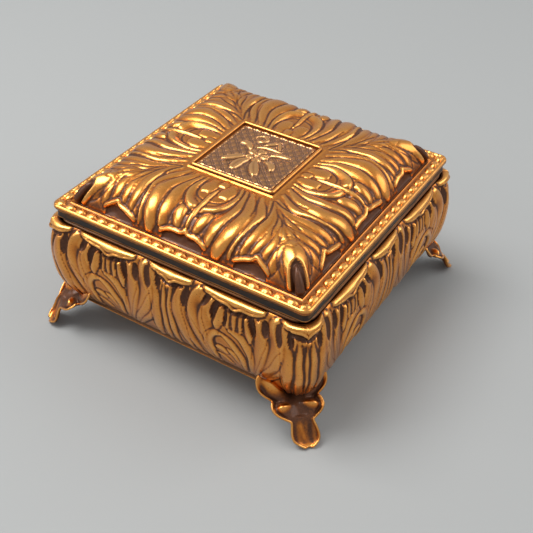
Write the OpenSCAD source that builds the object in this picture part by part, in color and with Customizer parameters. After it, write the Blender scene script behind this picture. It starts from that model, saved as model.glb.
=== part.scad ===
// Square vanity trinket box in antiqued copper: four bellied pressed walls on a tray base, leaf feet on the
// diagonals, a cushion-domed hinged lid with a framed square plaque, and a padded velvet lining.
// Millimetres. The origin is on the table under the middle of the box, +Z is up and the front faces -Y.

/* [Box] */
// Side of the square lid over its rolled edge
lid_w = 120; // [96:1:150]
// Height of the base plate's underside above the table
base_z = 10; // [8:0.5:14]
// Height of the plain band round the base
band_h = 4.5; // [3:0.5:8]
// Height of the bellied walls
wall_h = 39.8; // [30:0.2:60]
// How far the walls' feet stand inside their top edge
wall_inset = 4.7; // [2:0.1:6]
// How far the lower handle of the belly's curve stands out from the walls' feet
belly_low = 9.7; // [4:0.1:12]
// How far the upper handle of the belly's curve stands out from the walls' top edge
belly_high = 5.4; // [2:0.1:8]
// Thickness of the pressed sheet
sheet_t = 1; // [0.6:0.1:1.4]
// Corner radius of the body at its top edge
body_corner_r = 7; // [6:0.5:12]

/* [Rim frame] */
// Thickness of the flat frame on top of the walls
frame_t = 1.2; // [1:0.1:2]
// Width of the flat frame
frame_w = 8.6; // [7:0.1:12]
// Height of the lip that the lid closes over
lip_h = 1.2; // [0.8:0.1:2]
// Thickness of that lip
lip_t = 0.8; // [0.6:0.1:1.5]
// Clearance between the lip and the skirt
lip_gap = 0.6; // [0.4:0.1:1.5]

/* [Lid] */
// Clearance between the closed lid and the frame
lid_gap = 0.3; // [0.2:0.05:0.6]
// Height of the dark skirt below the lid's rim
skirt_h = 4.2; // [3.6:0.1:6]
// Thickness of the skirt
skirt_t = 1; // [0.6:0.1:1.5]
// How far the rolled edge stands out beyond the skirt
overhang = 1; // [0.6:0.1:2]
// Corner radius of the lid's rim
lid_corner_r = 3.5; // [3:0.1:6]
// Half the height and half the width of the upstanding rolled edge
roll_r = 1; // [0.8:0.1:1.5]
// Thickness of the flat border
border_t = 1.2; // [1:0.1:2]
// Width of the flat border, from the rolled edge's outside to the foot of the dome
border_w = 8; // [7:0.5:14]
// Height of the dome above the border
dome_h = 11.8; // [6:0.2:20]
// How square-shouldered the dome is
dome_power = 4.6; // [1.6:0.1:6]

/* [Plaque] */
// Outside width of the square bezel
bezel_w = 40; // [30:1:46]
// Width of the bezel's wire
bezel_t = 1.4; // [1:0.1:2.5]
// Height of the bezel above the dome's flat top
bezel_h = 1.2; // [0.8:0.1:2]
// Gap between the bezel and the plaque
plaque_gap = 1; // [0.5:0.1:2]
// Thickness of the plaque
plaque_t = 0.6; // [0.4:0.1:1]

/* [Feet] */
// How far along each face a foot's upper lobe reaches from the corner
lobe_reach = 20; // [16:0.5:24]
// Radius of the upper lobes
lobe_r = 6; // [5:0.1:7]
// Radius of the lower lobes
low_lobe_r = 4.5; // [3.5:0.1:5.5]
// Thickness of a foot's leaf
leaf_t = 1.2; // [1:0.1:1.8]
// Gap between the base's band and the foot of the foot's leaf
leaf_gap = 2.2; // [2:0.1:3.5]
// How far the toe reaches out beyond the leaf's corner
toe_reach = 13.9; // [11:0.1:16]
// Width of the toe at its waist
waist_w = 7.4; // [5:0.1:9]
// Width of the toe's pad
toe_w = 10.8; // [8:0.1:13]

/* [Hinge] */
// Radius of the hinge pin
pin_r = 0.75; // [0.5:0.05:0.9]
// Running clearance between the pin and the lid's knuckles
pin_play = 0.05; // [0.02:0.01:0.1]
// Outside radius of the knuckles
knuckle_r = 1.6; // [1.4:0.05:2]
// Length of one knuckle
knuckle_len = 12; // [8:0.5:16]
// Number of knuckles, counting both leaves
knuckle_n = 5; // [3:2:7]
// Clearance between neighbouring knuckles
knuckle_gap = 0.2; // [0.1:0.05:0.4]
// Thickness of the hinge leaves
hinge_t = 0.6; // [0.5:0.1:0.8]
// How far the hinge pin stands behind the frame's rear edge
hinge_back = 2.2; // [2:0.1:3]

/* [Lining] */
// Thickness of the velvet-covered cards
card_t = 1.6; // [1:0.1:3]
// Thickness of the padded floor
floor_t = 3; // [2:0.1:5]
// Thickness of the board behind the lid's lining
board_t = 1; // [0.8:0.1:1.5]
// Thickness of the lid's padded lining
pad_t = 1.8; // [1:0.1:2]
// Clearance round each piece of the lining
lining_gap = 0.2; // [0.1:0.05:0.4]

/* [Hidden] */
$fn = 96;

copper = "#c07a3c";
dark_copper = "#4a4440";
old_copper = "#9a6238";
brass = "#a98546";
velvet = "#5a1f2a";
card = "#7a6a58";

// Heights
band_top = base_z + band_h;
wall_top = band_top + wall_h;
frame_top = wall_top + frame_t;
skirt_z = frame_top + lid_gap;
rim_z = skirt_z + skirt_h;
border_top = rim_z + border_t;
dome_top = border_top + dome_h;

// Half widths, outside unless the name says otherwise
lid_half = lid_w / 2;
skirt_half = lid_half - overhang;
edge_gap = 0.2;
frame_half = skirt_half + edge_gap;
frame_inner = frame_half - frame_w;
foot_half = frame_half - wall_inset;
band_half = foot_half + 0.5;
corner_c = frame_half - body_corner_r;
dome_half = lid_half - border_w;
bezel_half = bezel_w / 2;
flat_half = bezel_half + 0.7;
lip_half = skirt_half - skirt_t - lip_gap;
liner_half = frame_inner + card_t;

// Belly of the walls: one cubic curve from the foot to the top edge, as half width and height
belly_foot = [foot_half, band_top];
belly_p1 = [foot_half + belly_low, band_top + wall_h * 0.075];
belly_p2 = [frame_half + belly_high, wall_top - wall_h * 0.17];
belly_edge = [frame_half, wall_top];
belly_steps = 16;

function belly(t) =
    pow(1 - t, 3) * belly_foot + 3 * t * pow(1 - t, 2) * belly_p1
    + 3 * t * t * (1 - t) * belly_p2 + pow(t, 3) * belly_edge;

function belly_slope(t) =
    3 * pow(1 - t, 2) * (belly_p1 - belly_foot) + 6 * t * (1 - t) * (belly_p2 - belly_p1)
    + 3 * t * t * (belly_edge - belly_p2);

// The same curve one sheet further in, square to the surface
function belly_inside(t) =
    let (d = belly_slope(t))
    belly(t) + sheet_t * [-d.y, d.x] / norm(d);

// Height of the dome at a half width w
function dome_z(w) =
    let (s = max(0, (w - flat_half) / (dome_half - flat_half)))
    border_top + dome_h * (1 - pow(s, dome_power));

dome_steps = 14;

// A square with rounded corners, centred
module rounded_square(half, r) {
    square([2 * half, 2 * (half - r)], center = true);
    square([2 * (half - r), 2 * half], center = true);
    for (x = [-1, 1], y = [-1, 1])
        translate([x * (half - r), y * (half - r)])
            circle(r);
}

// A flat ring between two rounded squares
module ring(z, t, outer, outer_r, inner, inner_r) {
    translate([0, 0, z])
        linear_extrude(t)
            difference() {
                rounded_square(outer, outer_r);
                rounded_square(inner, inner_r);
            }
}

// One side of a moulding that runs round a square, mitred through its corners. The profile's x is measured
// outwards from the corners' centres, which stand c from the middle. Side 0 is the front.
module moulding_side(c, side) {
    rotate(90 * side) {
        rotate([90, 0, -90])
            linear_extrude(2 * c, center = true)
                translate([c, 0])
                    children();
        translate([c, -c, 0])
            rotate(-90)
                rotate_extrude(angle = 45)
                    children();
        translate([-c, -c, 0])
            rotate(-135)
                rotate_extrude(angle = 45)
                    children();
    }
}

// ---- Body ----

module wall(side) {
    last = belly_steps;
    color(copper)
        moulding_side(corner_c, side)
            translate([-corner_c, 0])
                polygon(concat(
                    [for (i = [0:last]) belly(i / last)],
                    [for (i = [last:-1:0]) belly_inside(i / last)]
                ));
}

module base_plate() {
    band_r = band_half - corner_c;
    color(old_copper) {
        translate([0, 0, base_z])
            linear_extrude(sheet_t)
                rounded_square(band_half, band_r);
        ring(base_z, band_h, band_half, band_r, band_half - sheet_t - 0.5, band_r - 1);
    }
}

module rim_frame() {
    recess_half = hinge_len / 2 + lining_gap;
    lip_r = 2;
    color(old_copper)
        difference() {
            union() {
                ring(wall_top, frame_t, frame_half, body_corner_r, frame_inner, 0.5);
                ring(frame_top, lip_h, lip_half, lip_r, lip_half - lip_t, lip_r - lip_t);
            }
            // Recess for the body's hinge leaf
            translate([-recess_half, hinge_y - leaf_len - lining_gap, frame_top - hinge_t])
                cube([2 * recess_half, leaf_len + hinge_back, frame_t]);
        }
}

// ---- Feet ----

// The leaf stands off the band at its foot and leans out to clear the belly
cup_in = band_half + leaf_gap;
cup_out = cup_in + leaf_t;
cup_r = 4;
cup_diag = (cup_out - cup_r) * sqrt(2) + cup_r;
cup_z = base_z - 2 * lobe_r + 5;
lobe_top = cup_z + 2 * lobe_r + 3;
cup_lean = 3.4;
seat_t = 1.4;

// Outline of one wing of a foot, seen square to its face: an upper lobe, a lower lobe and the web between
// them and the corner
module wing_outline() {
    translate([lobe_reach - lobe_r, lobe_top - lobe_r])
        circle(lobe_r);
    translate([lobe_reach - 2 * lobe_r, cup_z + low_lobe_r])
        circle(low_lobe_r);
    translate([-cup_lean - leaf_t, lobe_top - 2 * lobe_r])
        square([lobe_reach - lobe_r + cup_lean, lobe_r + 2]);
}

// The cup round the base's corner, for the corner at +X +Y
module foot_cup() {
    c = cup_out - cup_r;
    depth = lobe_reach + cup_lean;
    intersection() {
        translate([c, c, 0])
            union() {
                for (turn = [0, 90])
                    rotate(turn)
                        translate([0, turn == 0 ? -depth : 0, 0])
                            rotate([90, 0, 0])
                                mirror([0, 0, 1])
                                    linear_extrude(depth)
                                        leaf_section();
                rotate_extrude(angle = 90)
                    leaf_section();
            }
        union() {
            translate([cup_out, cup_out + cup_lean + 1, 0])
                rotate([90, 0, 0])
                    mirror([1, 0, 0])
                        linear_extrude(lobe_r + cup_lean)
                            wing_outline();
            translate([cup_out - lobe_r + 1, cup_out, 0])
                rotate([90, 0, 90])
                    mirror([1, 0, 0])
                        linear_extrude(lobe_r + cup_lean)
                            wing_outline();
        }
    }
}

// Section of the leaning leaf, measured outwards from the centre of the cup's corner
module leaf_section() {
    polygon([
        [cup_r - leaf_t, cup_z], [cup_r, cup_z],
        [cup_r + cup_lean, lobe_top], [cup_r + cup_lean - leaf_t, lobe_top]
    ]);
}

// The toe, along +X: out from the cup's corner, then steeply down to its tip on the table
module foot_toe() {
    tip = cup_diag + toe_reach;
    pad_r = toe_w / 2;
    intersection() {
        rotate([90, 0, 0])
            linear_extrude(toe_w, center = true)
                polygon([
                    [cup_diag - 0.6, 10.8], [cup_diag + toe_reach * 0.45, 10.4],
                    [cup_diag + toe_reach * 0.7, 5.4], [tip - 1.6, 1.6], [tip, 1.2],
                    [tip, 0], [tip - 2.6, 0], [cup_diag + toe_reach * 0.55, 4.2],
                    [cup_diag + toe_reach * 0.33, 8.2], [cup_diag - 0.6, 8.2]
                ]);
        linear_extrude(lobe_top)
            union() {
                translate([tip - pad_r, 0])
                    circle(pad_r);
                translate([cup_diag - 3, -waist_w / 2])
                    square([toe_reach - pad_r + 3, waist_w]);
            }
    }
}

// Seat soldered under the base, reaching into the leaf
module foot_seat() {
    reach = 12;
    edge = cup_out + cup_lean * (base_z - cup_z) / (lobe_top - cup_z) - leaf_t / 2;
    translate([0, 0, base_z - seat_t])
        linear_extrude(seat_t)
            intersection() {
                rounded_square(edge, cup_r + 1);
                translate([edge - reach, edge - reach])
                    square(reach);
            }
}

module foot(corner) {
    color(copper)
        rotate(90 * corner - 45) {
            rotate(-45) {
                foot_cup();
                foot_seat();
            }
            foot_toe();
        }
}

// ---- Hinge ----

hinge_y = frame_half + hinge_back;
hinge_z = frame_top + 0.5;
hinge_len = knuckle_n * knuckle_len + (knuckle_n - 1) * knuckle_gap;
leaf_len = 7;
head_r = 1.3;
head_t = 0.6;

function knuckle_x(i) = -hinge_len / 2 + i * (knuckle_len + knuckle_gap);

// Extrudes a section, drawn as y and z, along X
module along_x(x, length) {
    translate([x, 0, 0])
        rotate([90, 0, 90])
            linear_extrude(length)
                children();
}

module knuckle(i, bore_r) {
    along_x(knuckle_x(i), knuckle_len)
        translate([hinge_y, hinge_z])
            difference() {
                circle(knuckle_r);
                circle(bore_r);
            }
}

module hinge_leaf_body() {
    color(brass) {
        for (i = [0:2:knuckle_n - 1])
            knuckle(i, pin_r);
        difference() {
            along_x(-hinge_len / 2, hinge_len)
                translate([hinge_y - leaf_len, frame_top - hinge_t])
                    square([leaf_len, hinge_t]);
            // Round the pin, and round the lid's knuckles
            along_x(-hinge_len / 2 - 1, hinge_len + 2)
                translate([hinge_y, hinge_z])
                    circle(pin_r + 0.3);
            for (i = [1:2:knuckle_n - 2])
                along_x(knuckle_x(i) - knuckle_gap, knuckle_len + 2 * knuckle_gap)
                    translate([hinge_y, hinge_z])
                        circle(knuckle_r + knuckle_gap);
        }
    }
}

module hinge_leaf_lid() {
    leaf_z = skirt_z + 1.1;
    color(brass) {
        along_x(-hinge_len / 2, hinge_len)
            translate([skirt_half, leaf_z])
                square([hinge_t, rim_z - leaf_z]);
        for (i = [1:2:knuckle_n - 2]) {
            knuckle(i, pin_r + pin_play);
            // Web from the leaf to the top of the knuckle
            along_x(knuckle_x(i), knuckle_len)
                difference() {
                    polygon([
                        [skirt_half, leaf_z], [skirt_half, leaf_z + 1.6], [hinge_y, hinge_z + knuckle_r],
                        [hinge_y, hinge_z]
                    ]);
                    translate([hinge_y, hinge_z])
                        circle(pin_r + 0.3);
                }
        }
    }
}

module hinge_pin() {
    color(brass)
        translate([0, hinge_y, hinge_z])
            rotate([0, 90, 0]) {
                cylinder(r = pin_r, h = hinge_len + 2 * lining_gap, center = true);
                for (end = [-1, 1])
                    translate([0, 0, end * (hinge_len / 2 + lining_gap + head_t / 2)])
                        cylinder(r = head_r, h = head_t, center = true);
            }
}

// ---- Lid ----

// Solid under the dome's curve, drop below it and in from its foot
module dome_solid(drop) {
    half = dome_half - drop;
    section = [for (i = [0:dome_steps])
        let (w = flat_half + (half - flat_half) * i / dome_steps)
        [w, dome_z(w + drop) - drop]];
    points = concat(
        [[half, rim_z - drop]],
        [for (i = [dome_steps:-1:0]) section[i]],
        [for (p = section) [-p.x, p.y]],
        [[-half, rim_z - drop]]
    );
    intersection() {
        rotate([90, 0, 0])
            linear_extrude(2 * half, center = true)
                polygon(points);
        rotate([90, 0, 90])
            linear_extrude(2 * half, center = true)
                polygon(points);
    }
}

module lid_top() {
    inner_line = 6.2;
    line_w = 0.8;
    line_h = 0.4;
    color(copper)
        difference() {
            union() {
                dome_solid(0);
                translate([0, 0, rim_z])
                    linear_extrude(border_t)
                        rounded_square(lid_half, lid_corner_r);
                ring(rim_z, 2 * roll_r, lid_half, lid_corner_r, lid_half - 2 * roll_r, lid_corner_r - 2 * roll_r);
                ring(border_top, line_h, lid_half - inner_line + line_w, 2, lid_half - inner_line, 1);
            }
            dome_solid(sheet_t);
        }
}

module lid_skirt() {
    skirt_r = lid_corner_r - overhang;
    color(dark_copper)
        ring(skirt_z, skirt_h, skirt_half, skirt_r, skirt_half - skirt_t, skirt_r - skirt_t);
}

module plaque_bezel() {
    bezel_r = 2;
    color(copper)
        ring(dome_top, bezel_h, bezel_half, bezel_r, bezel_half - bezel_t, bezel_r - bezel_t);
}

module plaque() {
    color(old_copper)
        translate([0, 0, dome_top])
            linear_extrude(plaque_t)
                rounded_square(bezel_half - bezel_t - plaque_gap, 0.6);
}

// ---- Lining ----

module lid_board() {
    color(card)
        translate([0, 0, rim_z - board_t])
            linear_extrude(board_t)
                rounded_square(skirt_half - skirt_t - lining_gap, 1);
}

module lid_lining() {
    color(velvet)
        translate([0, 0, rim_z - board_t - pad_t])
            linear_extrude(pad_t)
                rounded_square(lip_half - lip_t - 1, 2);
}

module liner_card(side) {
    bottom = base_z + sheet_t + lining_gap;
    span = side % 2 == 0 ? 2 * liner_half : 2 * (frame_inner - lining_gap);
    color(velvet)
        rotate(90 * side)
            translate([-span / 2, -liner_half, bottom])
                cube([span, card_t, wall_top - lining_gap - bottom]);
}

module liner_floor() {
    half = frame_inner - lining_gap;
    color(velvet)
        translate([-half, -half, base_z + sheet_t + lining_gap])
            cube([2 * half, 2 * half, floor_t]);
}

base_plate();
wall(0);  // front_wall
wall(1);  // right_wall
wall(2);  // rear_wall
wall(3);  // left_wall
rim_frame();
foot(0);  // foot_front_right
foot(1);  // foot_rear_right
foot(2);  // foot_rear_left
foot(3);  // foot_front_left
liner_card(0);  // liner_front
liner_card(1);  // liner_right
liner_card(2);  // liner_rear
liner_card(3);  // liner_left
liner_floor();
hinge_leaf_body();
hinge_pin();
lid_top();
lid_skirt();
plaque_bezel();
plaque();
lid_board();
lid_lining();
hinge_leaf_lid();
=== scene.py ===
"""Looks of a footed trinket box of antiqued pressed copper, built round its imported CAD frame.

Lengths in this file are millimetres until a mesh is written, which is in metres.
"""

import logging
import math
from dataclasses import dataclass, replace
from enum import Enum

import bmesh
import bpy
import numpy as np
from mathutils import Matrix, Vector


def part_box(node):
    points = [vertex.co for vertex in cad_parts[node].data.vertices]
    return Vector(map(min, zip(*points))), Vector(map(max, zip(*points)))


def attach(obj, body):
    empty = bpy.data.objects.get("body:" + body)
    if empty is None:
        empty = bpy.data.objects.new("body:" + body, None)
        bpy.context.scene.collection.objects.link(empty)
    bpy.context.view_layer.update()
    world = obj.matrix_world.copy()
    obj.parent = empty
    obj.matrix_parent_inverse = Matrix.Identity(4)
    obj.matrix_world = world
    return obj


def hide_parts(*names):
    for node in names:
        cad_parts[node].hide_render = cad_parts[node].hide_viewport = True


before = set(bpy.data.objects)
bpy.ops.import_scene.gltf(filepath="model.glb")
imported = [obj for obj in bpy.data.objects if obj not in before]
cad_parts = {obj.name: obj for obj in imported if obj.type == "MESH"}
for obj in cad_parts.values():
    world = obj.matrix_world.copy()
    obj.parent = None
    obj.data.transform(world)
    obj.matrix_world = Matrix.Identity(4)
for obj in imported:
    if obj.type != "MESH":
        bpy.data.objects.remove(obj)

MM = 0.001
OFF = -99.0  # height that marks a place off a stroke
LOG = logging.getLogger("trinket_box")
Points = tuple[tuple[float, float], ...]


class Body(Enum):
    """The two bodies that the hinge joins."""

    BOX = "box"
    LID = "lid"


class Slot(Enum):
    """Material slots of the record, one named for each new piece."""

    COPPER = "copper"
    AGED = "aged_copper"
    DARK = "dark_copper"
    VELVET = "velvet"


# ---------------------------------------------------------------- finishes


def linear(colour: str) -> tuple[float, float, float, float]:
    """Turns an sRGB colour into the linear one that shaders take.

    Args:
        colour: hex digits, such as "#c08040".

    Returns:
        Red, green and blue from 0 to 1, and an alpha of 1.
    """
    parts = [int(colour[i : i + 2], 16) / 255 for i in (1, 3, 5)]
    return tuple(c / 12.92 if c <= 0.04045 else ((c + 0.055) / 1.055) ** 2.4 for c in parts) + (1.0,)


def add_node(tree: bpy.types.NodeTree, kind: str, inputs: dict | None = None, **settings) -> bpy.types.Node:
    """Adds a shader node.

    Args:
        tree: the node tree that it goes in.
        kind: the node's type name.
        inputs: for each input's name or number, a value, or an output socket to link.
        settings: the node's own properties.

    Returns:
        The new node.
    """
    node = tree.nodes.new(kind)
    for name, value in settings.items():
        setattr(node, name, value)
    for key, value in (inputs or {}).items():
        if isinstance(value, bpy.types.NodeSocket):
            tree.links.new(value, node.inputs[key])
        else:
            node.inputs[key].default_value = value
    return node


def new_tree(name: str) -> tuple[bpy.types.Material, bpy.types.NodeTree, bpy.types.NodeSocket]:
    """Starts an empty node material.

    Args:
        name: the material's name.

    Returns:
        The material, its node tree and the object coordinates' socket.
    """
    material = bpy.data.materials.new(name)
    material.use_nodes = True
    tree = material.node_tree
    tree.nodes.clear()
    return material, tree, add_node(tree, "ShaderNodeTexCoord").outputs["Object"]


@dataclass(frozen=True)
class AntiquedCopper:
    """Copper sheet pressed in a die, darkened in a bath and rubbed bright on its high places.

    The eye sees orange metal with soft broad highlights, and a dull brown-black film in the hollows.
    """

    name: str
    bright: str = "#f6b05c"
    warm: str = "#d07a2a"
    patina: str = "#2e1d16"
    film: str = "#74462a"
    polished: float = 0.29
    dull: float = 0.58
    rubbed: float = 0.5
    relief: bool = True
    # how far a place is rubbed when the film starts to go and is gone, and from warm to bright copper
    film_gone: tuple[float, float] = (0.36, 0.74)
    brightest: tuple[float, float] = (0.6, 1.1)
    grain_mm: float = 0.7
    cloud_mm: float = 9.0
    dent_mm: float = 5.0

    def build(self) -> bpy.types.Material:
        """Makes the material."""
        material, tree, place = new_tree(self.name)
        cloud = add_node(tree, "ShaderNodeTexNoise", {"Vector": place, "Scale": 1 / (self.cloud_mm * MM),
                                                      "Detail": 4.0, "Roughness": 0.55})
        grain = add_node(tree, "ShaderNodeTexNoise", {"Vector": place, "Scale": 1 / (self.grain_mm * MM),
                                                      "Detail": 3.0, "Roughness": 0.6})
        dent = add_node(tree, "ShaderNodeTexNoise", {"Vector": place, "Scale": 1 / (self.dent_mm * MM),
                                                     "Detail": 1.5, "Roughness": 0.4})
        if self.relief:
            # on the lid, walls and feet this attribute also holds painted shade and a little painted light,
            # so there the dark film and warm copper partly stand in for shade
            rub = add_node(tree, "ShaderNodeAttribute", attribute_name="rub_and_shade").outputs["Fac"]
        else:
            rub = add_node(tree, "ShaderNodeMapRange", {"Value": cloud.outputs["Fac"], "From Min": 0.3,
                                                        "From Max": 0.7, "To Min": self.rubbed - 0.15,
                                                        "To Max": self.rubbed + 0.15}).outputs[0]
        # the film's edge is ragged, because the rubbing wheel skips over it
        ragged = add_node(tree, "ShaderNodeMath", {0: grain.outputs["Fac"], 1: 0.16, 2: -0.08},
                          operation="MULTIPLY_ADD")
        drift = add_node(tree, "ShaderNodeMath", {0: cloud.outputs["Fac"], 1: 0.24, 2: ragged.outputs[0]},
                         operation="MULTIPLY_ADD")
        level = add_node(tree, "ShaderNodeMath", {0: rub, 1: drift.outputs[0]}, operation="ADD")
        bare = add_node(tree, "ShaderNodeMapRange", {"Value": level.outputs[0], "From Min": self.film_gone[0],
                                                     "From Max": self.film_gone[1]},
                        interpolation_type="SMOOTHSTEP")
        shine = add_node(tree, "ShaderNodeMapRange", {"Value": level.outputs[0],
                                                      "From Min": self.brightest[0],
                                                      "From Max": self.brightest[1]})
        metal = add_node(tree, "ShaderNodeMix", {"Factor": shine.outputs[0], "A": linear(self.warm),
                                                 "B": linear(self.bright)}, data_type="RGBA")
        tarnish = add_node(tree, "ShaderNodeMix", {"Factor": grain.outputs["Fac"], "A": linear(self.patina),
                                                   "B": linear(self.film)}, data_type="RGBA")
        colour = add_node(tree, "ShaderNodeMix", {"Factor": bare.outputs[0], "A": tarnish.outputs["Result"],
                                                  "B": metal.outputs["Result"]}, data_type="RGBA")
        wear = add_node(tree, "ShaderNodeMath", {0: grain.outputs["Fac"], 1: 0.12, 2: -0.06},
                        operation="MULTIPLY_ADD")
        rough = add_node(tree, "ShaderNodeMapRange", {"Value": bare.outputs[0], "To Min": self.dull,
                                                      "To Max": self.polished})
        gloss = add_node(tree, "ShaderNodeMath", {0: rough.outputs[0], 1: wear.outputs[0]}, operation="ADD")
        metallic = add_node(tree, "ShaderNodeMapRange", {"Value": bare.outputs[0], "To Min": 0.75,
                                                         "To Max": 1.0})
        pits = add_node(tree, "ShaderNodeBump", {"Height": grain.outputs["Fac"], "Strength": 0.22,
                                                 "Distance": 0.05 * MM})
        dents = add_node(tree, "ShaderNodeBump", {"Height": dent.outputs["Fac"], "Strength": 0.4,
                                                  "Distance": 0.5 * MM, "Normal": pits.outputs[0]})
        shader = add_node(tree, "ShaderNodeBsdfPrincipled", {"Base Color": colour.outputs["Result"],
                                                             "Roughness": gloss.outputs[0],
                                                             "Metallic": metallic.outputs[0],
                                                             "Coat Weight": 0.25, "Coat Roughness": 0.14,
                                                             "Normal": dents.outputs[0]})
        add_node(tree, "ShaderNodeOutputMaterial", {"Surface": shader.outputs[0]})
        return material


@dataclass(frozen=True)
class CottonVelvet:
    """Short cut-pile cotton velvet, glued over card: deep colour, a soft pale bloom where the pile leans."""

    name: str = "cotton_velvet"
    deep: str = "#3d0d16"
    bloom: str = "#7a2433"
    pile_mm: float = 0.5
    lean_mm: float = 14.0

    def build(self) -> bpy.types.Material:
        """Makes the material."""
        material, tree, place = new_tree(self.name)
        lean = add_node(tree, "ShaderNodeTexNoise", {"Vector": place, "Scale": 1 / (self.lean_mm * MM),
                                                     "Detail": 3.0, "Distortion": 0.8})
        pile = add_node(tree, "ShaderNodeTexNoise", {"Vector": place, "Scale": 1 / (self.pile_mm * MM),
                                                     "Detail": 2.0})
        patch = add_node(tree, "ShaderNodeMath", {0: pile.outputs["Fac"], 1: 0.5, 2: lean.outputs["Fac"]},
                         operation="MULTIPLY_ADD")
        share = add_node(tree, "ShaderNodeMapRange", {"Value": patch.outputs[0], "From Min": 0.55,
                                                      "From Max": 0.95})
        colour = add_node(tree, "ShaderNodeMix", {"Factor": share.outputs[0], "A": linear(self.deep),
                                                  "B": linear(self.bloom)}, data_type="RGBA")
        bump = add_node(tree, "ShaderNodeBump", {"Height": pile.outputs["Fac"], "Strength": 0.6,
                                                 "Distance": 0.2 * MM})
        shader = add_node(tree, "ShaderNodeBsdfPrincipled", {"Base Color": colour.outputs["Result"],
                                                             "Roughness": 0.92, "Sheen Weight": 0.5,
                                                             "Sheen Roughness": 0.4,
                                                             "Sheen Tint": linear("#c9808c"),
                                                             "Normal": bump.outputs[0]})
        add_node(tree, "ShaderNodeOutputMaterial", {"Surface": shader.outputs[0]})
        return material


@dataclass(frozen=True)
class GreyBoard:
    """Uncoated grey bookbinding board: matt, with short pressed fibres."""

    name: str = "grey_board"
    pale: str = "#8a7a67"
    dark: str = "#6b5d4e"
    fibre_mm: float = 0.8

    def build(self) -> bpy.types.Material:
        """Makes the material."""
        material, tree, place = new_tree(self.name)
        stretch = add_node(tree, "ShaderNodeMapping", {"Vector": place, "Scale": (1.0, 3.0, 1.0)})
        fibre = add_node(tree, "ShaderNodeTexNoise", {"Vector": stretch.outputs[0],
                                                      "Scale": 1 / (self.fibre_mm * MM), "Detail": 4.0})
        colour = add_node(tree, "ShaderNodeMix", {"Factor": fibre.outputs["Fac"], "A": linear(self.dark),
                                                  "B": linear(self.pale)}, data_type="RGBA")
        bump = add_node(tree, "ShaderNodeBump", {"Height": fibre.outputs["Fac"], "Strength": 0.4,
                                                 "Distance": 0.08 * MM})
        shader = add_node(tree, "ShaderNodeBsdfPrincipled", {"Base Color": colour.outputs["Result"],
                                                             "Roughness": 0.85, "Normal": bump.outputs[0]})
        add_node(tree, "ShaderNodeOutputMaterial", {"Surface": shader.outputs[0]})
        return material


@dataclass(frozen=True)
class PaintedTable:
    """Matt pale grey painted board that the box stands on."""

    name: str = "pale_table"
    tone: str = "#989998"

    def build(self) -> bpy.types.Material:
        """Makes the material."""
        material, tree, place = new_tree(self.name)
        cloud = add_node(tree, "ShaderNodeTexNoise", {"Vector": place, "Scale": 4.0, "Detail": 2.0})
        rough = add_node(tree, "ShaderNodeMapRange", {"Value": cloud.outputs["Fac"], "To Min": 0.62,
                                                      "To Max": 0.74})
        shader = add_node(tree, "ShaderNodeBsdfPrincipled", {"Base Color": linear(self.tone),
                                                             "Roughness": rough.outputs[0],
                                                             "Specular IOR Level": 0.25})
        add_node(tree, "ShaderNodeOutputMaterial", {"Surface": shader.outputs[0]})
        return material


class Finishes:
    """Every finish of the box, each made once."""

    def __init__(self) -> None:
        """Builds the materials."""
        self.pressed = AntiquedCopper("antiqued_pressed_copper").build()
        self.border = AntiquedCopper("antiqued_border_copper", patina="#4a3222", film="#94643c").build()
        self.plaque = AntiquedCopper("brown_plaque_copper", bright="#e6ab6c", warm="#bd8350",
                                     patina="#4c3426", film="#8a6246", polished=0.3).build()
        self.skirt = AntiquedCopper("oxidised_skirt_copper", bright="#c98c52", warm="#a66d3a",
                                    patina="#211c1a", film="#37302c", dull=0.45).build()
        self.brass = AntiquedCopper("aged_hinge_brass", bright="#c9a860", warm="#a5823f",
                                    relief=False, rubbed=0.55).build()
        self.velvet = CottonVelvet().build()
        self.card = GreyBoard().build()
        self.table = PaintedTable().build()


# ---------------------------------------------------------------- relief


def smooth_line(points: Points, spacing: float = 0.4) -> np.ndarray:
    """Draws one smooth line through points.

    Args:
        points: where it passes, in mm.
        spacing: distance between the samples, in mm.

    Returns:
        The samples, one row each.
    """
    p = np.asarray(points, float)
    ends = np.vstack([2 * p[0] - p[1], p, 2 * p[-1] - p[-2]])
    t = np.linspace(0, 1, 10, endpoint=False)[:, None]
    runs = [0.5 * (2 * b + (c - a) * t + (2 * a - 5 * b + 4 * c - d) * t**2 + (3 * b - a - 3 * c + d) * t**3)
            for a, b, c, d in zip(ends, ends[1:], ends[2:], ends[3:])]
    line = np.vstack(runs + [p[-1:]])
    along = np.r_[0, np.cumsum(np.hypot(*np.diff(line, axis=0).T))]
    even = np.linspace(0, along[-1], max(8, int(along[-1] / spacing) + 1))
    return np.column_stack([np.interp(even, along, line[:, k]) for k in (0, 1)])


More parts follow.
